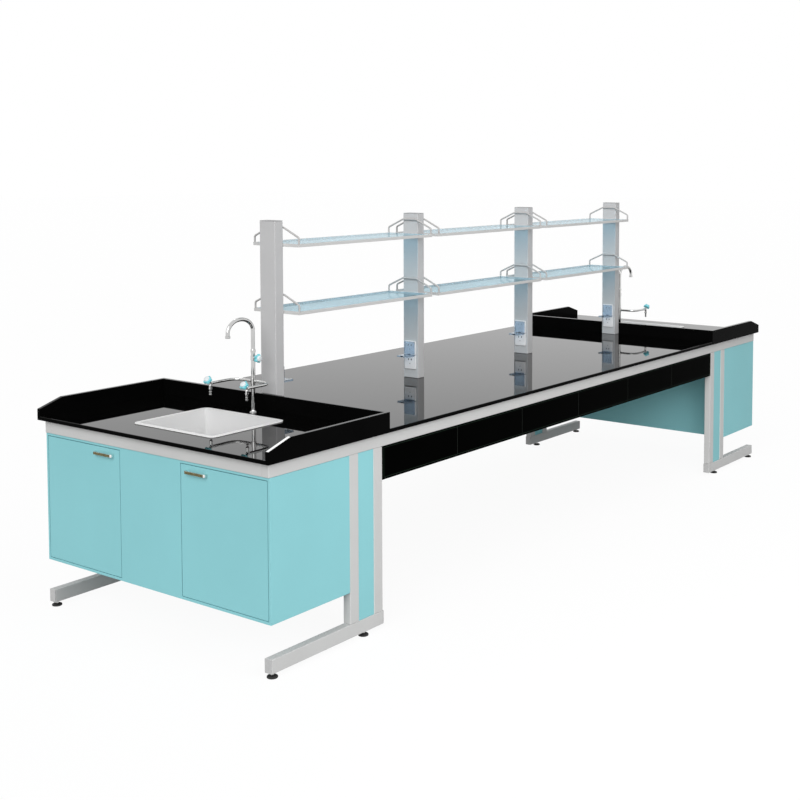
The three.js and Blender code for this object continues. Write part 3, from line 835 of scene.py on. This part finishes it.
class BENCH_OT_covers(bpy.types.Operator):
    """Clear blue flip covers over the sockets"""

    bl_idname = "bench.covers"
    bl_label = "Socket covers"

    def execute(self, context):
        for level in LEVELS:
            for number, facing in enumerate(POST_FACING, 1):
                node = f"socket_cover_{level}_{number}"
                dressed(node, cover_plastic(), FINE_ROUND, 2, body=node)
                self.latch(node, facing, level == "lower")
        return {"FINISHED"}

    def latch(self, node, facing, raised):
        """A thumb catch on the cover's free edge, painted dark as the shade at the cover's lip."""
        low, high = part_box(node)
        if raised:
            tip = high.x if facing > 0 else low.x
            x0, x1 = sorted((tip - facing * CATCH_SUNK, tip + facing * CATCH_PROUD))
            z0, z1 = low.z + CATCH_INSET, high.z - CATCH_INSET
        else:
            x0, x1 = low.x + CATCH_INSET, high.x - CATCH_INSET
            z0, z1 = low.z - CATCH_PROUD, low.z + CATCH_SUNK
        bm = solid((x0, -CATCH_HALF, z0), (x1, CATCH_HALF, z1))
        round_edges(bm, CATCH_ROUND, 2)
        piece(f"{node}_catch", bm, latch_painted_shade(), body=node)


# Shelves, with a guard's heights measured from the top of its shelf

SHELF_HEIGHT = 0.015
SHELF_RIM = 0.012
SHELF_LIP = 0.010
SHELF_ROUND = 0.0007
PANE_SEAT = 0.0063
GUARD_OFF = 0.007  # from the end of the shelf to the rod's middle
GUARD_R = 0.0048
GUARD_BEND = 0.008
GUARD_HALF = ((-0.146, -0.001), (-0.146, 0.030), (-0.046, 0.076))


class BENCH_OT_shelves(bpy.types.Operator):
    """Shelf frames with bent end guards, and the glass panes in them"""

    bl_idname = "bench.shelves"
    bl_label = "Shelves"

    def execute(self, context):
        for level in LEVELS:
            for span in range(1, len(POST_X)):
                name = f"{level}_{span}"
                self.tray(name)
                pane = f"shelf_glass_{name}"
                dressed(pane, shelf_glass(), FINE_ROUND, 2)
        return {"FINISHED"}

    def tray(self, name):
        """A frame with a seat for its pane, and a guard at each end."""
        node = f"shelf_frame_{name}"
        low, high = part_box(node)
        top = low.z + SHELF_HEIGHT
        bm = solid(low, (high.x, high.y, top))
        upper, lower = top_and_bottom(bm)
        seat = drawn(bm, upper, SHELF_RIM, PANE_SEAT)
        bmesh.ops.inset_region(bm, faces=[seat], thickness=SHELF_LIP, use_even_offset=True)
        border = SHELF_RIM + SHELF_LIP
        bmesh.ops.inset_region(bm, faces=[lower], thickness=border, use_even_offset=True)
        loops = list(seat.edges) + list(lower.edges)
        bmesh.ops.delete(bm, geom=[seat, lower], context="FACES_ONLY")
        bmesh.ops.bridge_loops(bm, edges=loops)
        outward(bm)
        round_edges(bm, SHELF_ROUND, 2)
        piece(f"shelf_tray_{name}", bm, shelf_coat(), node)
        rods = bmesh.new()
        for x in (low.x + GUARD_OFF, high.x - GUARD_OFF):
            take_in(rods, rod(self.guard(x, top), GUARD_R))
        piece(f"shelf_guards_{name}", rods, guard_coat())

    def guard(self, x, top):
        """The bent path of an end guard."""
        half = [(x, y, top + z) for y, z in GUARD_HALF]
        corners = half + [(x, -y, z) for _x, y, z in reversed(half)]
        return bent_path(corners, [GUARD_BEND] * 4)


# Sinks

SINK_LOW, SINK_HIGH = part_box("sink_near")
SINK_PLACE = ((SINK_LOW.x + SINK_HIGH.x) / 2, 0, 0)
RIM_HALVES = (0.223, 0.264)
RIM_UNDER = 0.9003
RIM_CORNER = 0.034
BOWL_TOP = 0.899
BOWL_FLOOR = 0.695
BOWL_UNDER = 0.690
BOWL_INSIDE = 0.0215  # from the edge of the rim
BOWL_OUTSIDE = 0.0175
FLOOR_FILLET = 0.008
UNDER_FILLET = 0.012
LEVEL_TOLERANCE = 1e-4
DRAIN_R = 0.021
DRAIN_RING = (
    (0.0195, 0.687), (0.033, 0.6955), (0.033, 0.6972), (0.029, 0.6985), (0.0195, 0.6965),
    (0.0195, 0.687),
)
TAILPIECE = (
    (0.0185, 0.630), (0.0215, 0.630), (0.0215, 0.668), (0.0268, 0.668), (0.0268, 0.6898),
    (0.0185, 0.6898), (0.0185, 0.630),
)


class BENCH_OT_sinks(bpy.types.Operator):
    """White drop-in sinks with a drain and tailpiece"""

    bl_idname = "bench.sinks"
    bl_label = "Sinks"

    def execute(self, context):
        for end, far in ENDS:
            bowl, node = self.bowl(), f"sink_{end}"
            made = piece(f"sink_bowl_{end}", bowl, white_glaze(), node, far=far)
            # the faces inside the bowl take the darker glaze as painted shade
            two_tone(made, bowl_glaze_painted_shade(), lambda face: face.center.z < BOWL_TOP)
            drain = turned(DRAIN_RING, base=SINK_PLACE)
            piece(f"drain_ring_{end}", drain, chrome(), far=far)
            pipe = turned(TAILPIECE, base=SINK_PLACE)
            piece(f"tailpiece_{end}", pipe, grey_plastic(), far=far)
        return {"FINISHED"}

    def bowl(self):
        """A rim plate with the bowl drawn down through it."""
        bm = rounded_plate(*RIM_HALVES, RIM_UNDER, SINK_HIGH.z, RIM_CORNER, 8)
        round_edges(bm, SOFT_ROUND, angle=60)
        upper, lower = top_and_bottom(bm)
        floor = drawn(bm, upper, BOWL_INSIDE, SINK_HIGH.z - BOWL_FLOOR)
        bevel(bm, list(floor.edges), FLOOR_FILLET, 6)
        under = drawn(bm, lower, BOWL_OUTSIDE, RIM_UNDER - BOWL_UNDER)
        bevel(bm, list(under.edges), UNDER_FILLET, 6)
        rims = self.pierced(bm, BOWL_FLOOR) + self.pierced(bm, BOWL_UNDER)
        bmesh.ops.bridge_loops(bm, edges=rims)
        outward(bm)
        bmesh.ops.translate(bm, vec=SINK_PLACE, verts=bm.verts)
        return bm

    def pierced(self, bm, height):
        """Cuts the drain hole in the floor at a height, and gives the edges of its rim."""
        near = [f for f in bm.faces if abs(f.calc_center_median().z - height) < LEVEL_TOLERANCE]
        floor = max(near, key=lambda face: face.calc_area())
        border = list(floor.edges)
        bmesh.ops.delete(bm, geom=[floor], context="FACES_ONLY")
        place = Matrix.Translation((0, 0, height))
        ring = bmesh.ops.create_circle(bm, segments=40, radius=DRAIN_R, matrix=place)["verts"]
        rim = [e for e in bm.edges if e.verts[0] in ring and e.verts[1] in ring]
        bmesh.ops.triangle_fill(bm, edges=border + rim, use_beauty=True)
        return rim


# Taps and their knobs, in (radius, height) outlines

FLANGE_R = 0.019
TAP_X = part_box("tap_near")[1].x - FLANGE_R
TAP_COLUMN = (
    (0, 0.837), (0.010, 0.837), (0.010, 0.9003), (FLANGE_R, 0.9003), (FLANGE_R, 0.903),
    (0.017, 0.9052), (0.0135, 0.9065), (0.0115, 0.910), (0.010, 0.916), (0.010, 1.036),
    (0.0125, 1.037), (0.0125, 1.063), (0.010, 1.064), (0.010, 1.148), (0.012, 1.149),
    (0.012, 1.169), (0.010, 1.170), (0.010, 1.185), (0, 1.185),
)
ARM_Z = 1.050
ARM_R = 0.007
ARM_ROOT = 0.002
ARM_SPREAD = 0.120
ARM_REACH = 0.158
ARM_FOOT = 1.026
ARM_BENDS = (0.060, 0.016)
ELBOW_INSET = 0.004
NOZZLE_NUT = [(0, 1.027), (0.0085, 1.027), (0.0085, 1.022), (0.0062, 1.0212)]
NOZZLE_BARB = ((0.0045, 0.0058), (0.0070, 0.0048), (0.0050, 0))
NOZZLE_BARBS = (1.0153, 1.0047, 0.994)
VALVE = Vector((TAP_X, 0, 1.159))
VALVE_AXIS = Vector((0, -1, 0))
VALVE_STEM = ((0, 0), (0.0085, 0), (0.0085, 0.016), (0.005, 0.018), (0.005, 0.0247), (0, 0.0247))
SIDE_AXIS = Vector((-1, 0, 1)).normalized()
SIDE_STEM = ((0, 0), (0.0075, 0), (0.0075, 0.012), (0.005, 0.0135), (0.005, 0.0197), (0, 0.0197))
SPOUT_R = 0.0095
SPOUT_FOOT = 1.190
SPOUT_SPRING = 1.290
SPOUT_RISE = 0.058
SPOUT_REACH = 0.158
SPOUT_TIP = 1.272
SPOUT_STEPS = 36
SPOUT_COLLAR = ((0, 1.1853), (0.012, 1.1853), (0.012, 1.198), (SPOUT_R, 1.2013), (0, 1.2013))
SPOUT_JOINT = ((0, 1.294), (0.0103, 1.294), (0.0103, 1.299), (0, 1.299))
SPOUT_OUTLET = (
    (0, 1.270), (0.0085, 1.268), (0.0108, 1.268), (0.012, 1.2695), (0.012, 1.279),
    (SPOUT_R, 1.281), (0, 1.281),
)


def elbow(side):
    """Where a side knob's stem leaves its arm."""
    x = TAP_X - ARM_REACH + ELBOW_INSET
    return Vector((x, side * ARM_SPREAD, ARM_Z - ELBOW_INSET))


class BENCH_OT_taps(bpy.types.Operator):
    """Chrome taps: column, two side arms with hose nozzles, and the swan-neck spout"""

    bl_idname = "bench.taps"
    bl_label = "Taps"

    def execute(self, context):
        for end, far in ENDS:
            tap, spout = f"tap_{end}", f"spout_{end}"
            piece(f"tap_body_{end}", self.body(), chrome(), tap, far=far)
            pipe = self.spout()
            piece(f"spout_pipe_{end}", pipe, chrome(), spout, body=spout, far=far)
        return {"FINISHED"}

    def body(self):
        """The column, two arms with their nozzles, and the knobs' stems."""
        bm = turned(TAP_COLUMN, base=(TAP_X, 0, 0))
        tip = TAP_X - ARM_REACH
        for side in (-1, 1):
            y = side * ARM_SPREAD
            corners = [
                (TAP_X, side * ARM_ROOT, ARM_Z),
                (TAP_X, y, ARM_Z),
                (tip, y, ARM_Z),
                (tip, y, ARM_FOOT),
            ]
            take_in(bm, rod(bent_path(corners, ARM_BENDS, 12), ARM_R))
            take_in(bm, turned(self.nozzle(), 24, (tip, y, 0)))
            take_in(bm, turned(SIDE_STEM, 24, elbow(side), SIDE_AXIS))
        take_in(bm, turned(VALVE_STEM, 24, VALVE, VALVE_AXIS))
        return bm

    def nozzle(self):
        """The outline of a hose nozzle: a nut and its barbs."""
        outline = list(NOZZLE_NUT)
        for z in NOZZLE_BARBS:
            outline += [(radius, z + rise) for radius, rise in NOZZLE_BARB]
        return outline + [(0, NOZZLE_BARBS[-1])]

    def spout(self):
        """The arched pipe with its collar, its joint ring and its outlet."""
        points = [Vector((TAP_X, 0, SPOUT_FOOT))]
        for i in range(SPOUT_STEPS + 1):
            angle = math.pi * i / SPOUT_STEPS
            x = TAP_X - SPOUT_REACH / 2 * (1 - math.cos(angle))
            points.append(Vector((x, 0, SPOUT_SPRING + SPOUT_RISE * math.sin(angle))))
        tip = TAP_X - SPOUT_REACH
        points.append(Vector((tip, 0, SPOUT_TIP)))
        bm = rod(points, SPOUT_R, 6)
        for outline, x in ((SPOUT_COLLAR, TAP_X), (SPOUT_JOINT, TAP_X), (SPOUT_OUTLET, tip)):
            take_in(bm, turned(outline, base=(x, 0, 0)))
        return bm


VALVE_KNOB = 0.025  # from the axis of the column to the back of its knob
SIDE_KNOB = 0.020
KNOB_LOBES = 5
KNOB_LOBE = 0.0025
KNOB_DEPTH = 0.015
KNOB_ROUND = 0.003
KNOB_CAP = (
    (0, 0.0145), (0.014, 0.0145), (0.014, 0.0195), (0.0125, 0.0218), (0.009, 0.023), (0, 0.023),
)


class BENCH_OT_knobs(bpy.types.Operator):
    """Lobed tap knobs with pale caps"""

    bl_idname = "bench.knobs"
    bl_label = "Tap knobs"

    def execute(self, context):
        for end, far in ENDS:
            self.knob(f"{end}_column", far, VALVE, VALVE_AXIS, VALVE_KNOB)
            for side_name, side in SIDES:
                origin = elbow(-side if far else side)
                self.knob(f"{end}_{side_name}", far, origin, SIDE_AXIS, SIDE_KNOB)
        return {"FINISHED"}

    def knob(self, name, far, origin, axis, start):
        """A lobed wheel and its cap, some way along an axis."""
        radius = sizes().knob_radius
        wheel = bmesh.new()
        ring = bmesh.ops.create_circle(wheel, cap_ends=True, segments=80, radius=1)["verts"]
        for v in ring:
            angle = math.atan2(v.co.y, v.co.x)
            v.co *= radius + KNOB_LOBE * math.cos(KNOB_LOBES * angle)
        made = bmesh.ops.extrude_face_region(wheel, geom=wheel.faces[:])
        raised = new_parts(made, bmesh.types.BMVert)
        bmesh.ops.translate(wheel, vec=(0, 0, KNOB_DEPTH), verts=raised)
        outward(wheel)
        round_edges(wheel, KNOB_ROUND, 4, 60)
        cap = turned(KNOB_CAP)
        for part in (wheel, cap):
            stand(part, along(axis), origin + axis * start)
        node = f"knob_{name}"
        piece(f"knob_wheel_{name}", wheel, knob_plastic(), node, body=node, far=far)
        piece(f"knob_cap_{name}", cap, cap_plastic(), body=node, far=far)


# Cabinets

DOOR_LOW, DOOR_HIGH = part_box("door_near_rear")
DOOR_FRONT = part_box("cabinet_near")[0].x
DOOR_EDGE = 0.5  # most that an edge's normal points along the bench
LEAF_OFF = 0.0006
LEAF_TOP_OFF = 0.0009
REVEAL = 0.0025
REVEAL_BACK = 0.0005
REVEAL_EDGE = 0.9
HANDLE_Y = 0.301
HANDLE_Z = 0.7797
HANDLE_HALF = 0.066
HANDLE_HEIGHT = 0.013
HANDLE_BEND = 0.012
HANDLE_SUNK = 0.0001
# the flats past this take the painted dark reflection
HANDLE_FACE = 0.93  # least that the strip's flat points along the bench


class BENCH_OT_cabinets(bpy.types.Operator):
    """Hanging cabinets with hinged doors and bow handles"""

    bl_idname = "bench.cabinets"
    bl_label = "Cabinets and doors"

    def execute(self, context):
        width = sizes().sheet_round
        for end, far in ENDS:
            made = dressed(f"cabinet_{end}", teal_coat(), width, 2)
            # the doorway's edge faces take painted shade
            two_tone(made, gap_painted_shade_coat(), self.in_doorway)
            for side_name, side in SIDES:
                self.door(f"door_{end}_{side_name}", far, -side if far else side)
        return {"FINISHED"}

    def in_doorway(self, face):
        """Whether a face of the cabinet is an edge of a doorway, which takes painted shade."""
        x, y, z = face.center
        across = abs(y) < DOOR_HIGH.y + REVEAL
        upright = DOOR_LOW.z - REVEAL < z < DOOR_HIGH.z + REVEAL
        forward = abs(x) > -DOOR_HIGH.x - REVEAL_BACK
        return across and upright and forward and abs(face.normal.x) < REVEAL_EDGE

    def door(self, node, far, side):
        """A door leaf whose edges carry painted shade, and its handle."""
        y0, y1 = sorted((side * (DOOR_LOW.y + LEAF_OFF), side * (DOOR_HIGH.y - LEAF_OFF)))
        z0, z1 = DOOR_LOW.z + LEAF_OFF, DOOR_HIGH.z - LEAF_TOP_OFF
        leaf = solid((DOOR_FRONT, y0, z0), (DOOR_HIGH.x, y1, z1))
        round_edges(leaf, SOFT_ROUND)
        made = piece(f"{node}_leaf", leaf, teal_coat(), node, body=node, far=far)
        # the leaf's edges take painted shade
        two_tone(made, gap_painted_shade_coat(), lambda face: abs(face.normal.x) < DOOR_EDGE)
        bow = self.handle(side * HANDLE_Y)
        # one chrome strip, lighter on its bends as a painted highlight and darker on its flats as a
        # painted reflection
        made = piece(f"{node}_handle", bow, handle_chrome_painted_highlight(), body=node, far=far)
        two_tone(made, handle_painted_dark_reflection(), lambda face: abs(face.normal.x) > HANDLE_FACE)

    def handle(self, y):
        """A flat strip bent into a bow."""
        thick = sizes().handle_thick
        foot = DOOR_FRONT + HANDLE_SUNK
        out = DOOR_LOW.x + thick / 2
        y0, y1 = y - HANDLE_HALF + thick / 2, y + HANDLE_HALF - thick / 2
        low = HANDLE_Z - HANDLE_HEIGHT / 2
        corners = [(foot, y0, low), (out, y0, low), (out, y1, low), (foot, y1, low)]
        bm = bmesh.new()
        verts = [bm.verts.new(point) for point in bent_path(corners, [HANDLE_BEND] * 2)]
        edges = [bm.edges.new(pair) for pair in zip(verts, verts[1:])]
        made = bmesh.ops.extrude_edge_only(bm, edges=edges)
        raised = new_parts(made, bmesh.types.BMVert)
        bmesh.ops.translate(bm, vec=(0, 0, HANDLE_HEIGHT), verts=raised)
        outward(bm)
        bmesh.ops.solidify(bm, geom=bm.faces[:], thickness=thick)
        outward(bm)
        proud = min(v.co.x for v in bm.verts)
        bmesh.ops.translate(bm, vec=(DOOR_LOW.x - proud, 0, 0), verts=bm.verts)
        round_edges(bm, sizes().sheet_round, angle=50)
        return bm


# Levelling feet

FOOT_PAD = (
    (0, 0), (0.022, 0), (0.023, 0.001), (0.023, 0.006), (0.021, 0.008), (0.012, 0.012),
    (0, 0.012),
)
FOOT_SHANK = ((0, 0.0115), (0.008, 0.0115), (0.008, 0.0217), (0, 0.0217))


class BENCH_OT_feet(bpy.types.Operator):
    """Levelling feet: rubber base and steel shank"""

    bl_idname = "bench.feet"
    bl_label = "Levelling feet"

    def execute(self, context):
        for end, _far in ENDS:
            for side_name, _side in SIDES:
                for place in ("outer", "inner"):
                    self.foot(f"foot_{end}_{side_name}_{place}")
        return {"FINISHED"}

    def foot(self, node):
        """A pad and its shank."""
        low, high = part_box(node)
        middle = ((low.x + high.x) / 2, (low.y + high.y) / 2, 0)
        pad = turned(FOOT_PAD, base=middle)
        piece(f"{node}_pad", pad, black_rubber(), node)
        shank = turned(FOOT_SHANK, 24, middle)
        piece(f"{node}_shank", shank, steel_thread())


# Stage, with the camera in pixels of the photograph, metres and radians

WHITE = (1, 1, 1, 1)
FLOOR_GREY = (0.36, 0.36, 0.36)
FLOOR_GLOW = 1.145
FLOOR_GLOW_SHARE = 0.82  # the rest takes the shadow
ROOM_LIGHT = 0.35
ROOM_WHITE = 1.0
PICTURE = 800
FOCAL = 1252.892
CENTRE = (470.567, 243.090)
SENSOR = 36
CAMERA_PLACE = (-5.868878, -4.249515, 2.073677)
YAW = 0.627756
PITCH = -0.064312


class BENCH_OT_stage(bpy.types.Operator):
    """Pale floor, soft studio light, white surroundings and the camera"""

    bl_idname = "bench.stage"
    bl_label = "Stage"

    def execute(self, context):
        scene = context.scene
        scene.view_settings.view_transform = "Standard"
        self.floor(scene)
        self.world(scene)
        self.lamps(scene)
        self.camera(scene)
        return {"FINISHED"}

    def floor(self, scene):
        """A pale floor that is near white where it is seen."""
        bm = bmesh.new()
        bmesh.ops.create_grid(bm, x_segments=1, y_segments=1, size=60)
        mesh = bpy.data.meshes.new("floor")
        bm.to_mesh(mesh)
        bm.free()
        made, tree, shader = blank_material("pale_floor")
        grey = shaded(tree, grain(tree, 0.8), FLOOR_GREY, 0.01)
        give(tree, shader, Base_Color=grey, Roughness=0.9)
        glow = add(tree, "Emission", Strength=FLOOR_GLOW)
        share = worked(tree, "MULTIPLY", seen_rays(tree), FLOOR_GLOW_SHARE)
        mixed = mix_shaders(tree, share, shader, glow)
        give(tree, tree.nodes["Material Output"], Surface=mixed)
        mesh.materials.append(made)
        floor = bpy.data.objects.new("floor", mesh)
        scene.collection.objects.link(floor)

    def world(self, scene):
        """A soft light all round, white where it is seen."""
        world = bpy.data.worlds.new("white_room")
        scene.world = world
        world.use_nodes = True
        tree = world.node_tree
        soft = tree.nodes["Background"]
        give(tree, soft, Color=WHITE, Strength=ROOM_LIGHT)
        white = add(tree, "Background", Color=WHITE, Strength=ROOM_WHITE)
        mixed = mix_shaders(tree, seen_rays(tree), soft, white)
        give(tree, tree.nodes["World Output"], Surface=mixed)

    def lamps(self, scene):
        """A broad key, a soft one for the front side, and a gleam on polished edges."""
        key = bpy.data.lights.new("soft_key", "SUN")
        key.energy = 1.9
        key.angle = math.radians(50)
        self.hang(scene, key, target=(0, 0, 0), towards=(-0.818, -0.274, 0.506), away=0)
        lamp = self.disc("side_key", size=3.0, watts=105)
        target = (-1.0, -0.75, 0.5)
        side = self.hang(scene, lamp, target, towards=(-1.0, -4.25, 2.0), away=4.8)
        side.visible_camera = False
        side.visible_glossy = False
        lamp = self.disc("edge_gleam", size=0.6, watts=12.2)
        target = (-2.34, -0.74, 0.955)
        gleam = self.hang(scene, lamp, target, towards=(0.441, 0.688, 0.576), away=6)
        gleam.visible_diffuse = False
        gleam.visible_camera = False

    def disc(self, name, size, watts):
        """A round area lamp."""
        lamp = bpy.data.lights.new(name, "AREA")
        lamp.shape = "DISK"
        lamp.size = size
        lamp.energy = watts
        return lamp

    def hang(self, scene, lamp, target, towards, away):
        """Hangs a lamp in a direction from a target, turned back to it."""
        towards = Vector(towards).normalized()
        made = bpy.data.objects.new(lamp.name, lamp)
        made.location = Vector(target) + towards * away
        made.rotation_mode = "QUATERNION"
        made.rotation_quaternion = towards.to_track_quat("Z", "Y")
        scene.collection.objects.link(made)
        return made

    def camera(self, scene):
        """The photograph's camera."""
        lens = bpy.data.cameras.new("camera")
        lens.sensor_width = SENSOR
        lens.lens = FOCAL / PICTURE * SENSOR
        lens.shift_x = (PICTURE / 2 - CENTRE[0]) / PICTURE
        lens.shift_y = (CENTRE[1] - PICTURE / 2) / PICTURE
        lens.clip_end = 200
        camera = bpy.data.objects.new("camera", lens)
        camera.location = CAMERA_PLACE
        level = math.cos(PITCH)
        ahead = Vector((math.cos(YAW) * level, math.sin(YAW) * level, math.sin(PITCH)))
        camera.rotation_mode = "QUATERNION"
        camera.rotation_quaternion = ahead.to_track_quat("-Z", "Y")
        scene.collection.objects.link(camera)
        scene.camera = camera


class BENCH_PT_panel(bpy.types.Panel):
    """Lists the bench's pieces, sizes and colours"""

    bl_idname = "BENCH_PT_panel"
    bl_label = "Laboratory bench"
    bl_space_type = "VIEW_3D"
    bl_region_type = "UI"
    bl_category = "Bench"

    def draw(self, context):
        for made in OPERATORS:
            self.layout.operator(made.bl_idname)
        for group in (context.scene.bench_sizes, context.scene.bench_colours):
            box = self.layout.box()
            for name in group.__annotations__:
                box.prop(group, name)


OPERATORS = (
    BENCH_OT_worktops,
    BENCH_OT_frames,
    BENCH_OT_fascias,
    BENCH_OT_posts,
    BENCH_OT_covers,
    BENCH_OT_shelves,
    BENCH_OT_sinks,
    BENCH_OT_taps,
    BENCH_OT_knobs,
    BENCH_OT_cabinets,
    BENCH_OT_feet,
    BENCH_OT_stage,
)
CLASSES = (BenchColours, BenchSizes, *OPERATORS, BENCH_PT_panel)


def register():
    for made in CLASSES:
        bpy.utils.register_class(made)
    bpy.types.Scene.bench_colours = PointerProperty(type=BenchColours)
    bpy.types.Scene.bench_sizes = PointerProperty(type=BenchSizes)


def unregister():
    del bpy.types.Scene.bench_sizes
    del bpy.types.Scene.bench_colours
    for made in reversed(CLASSES):
        bpy.utils.unregister_class(made)


def main():
    register()
    bpy.ops.bench.worktops()
    bpy.ops.bench.frames()
    bpy.ops.bench.fascias()
    bpy.ops.bench.posts()
    bpy.ops.bench.covers()
    bpy.ops.bench.shelves()
    bpy.ops.bench.sinks()
    bpy.ops.bench.taps()
    bpy.ops.bench.knobs()
    bpy.ops.bench.cabinets()
    bpy.ops.bench.feet()
    bpy.ops.bench.stage()


if __name__ == "__main__":
    main()
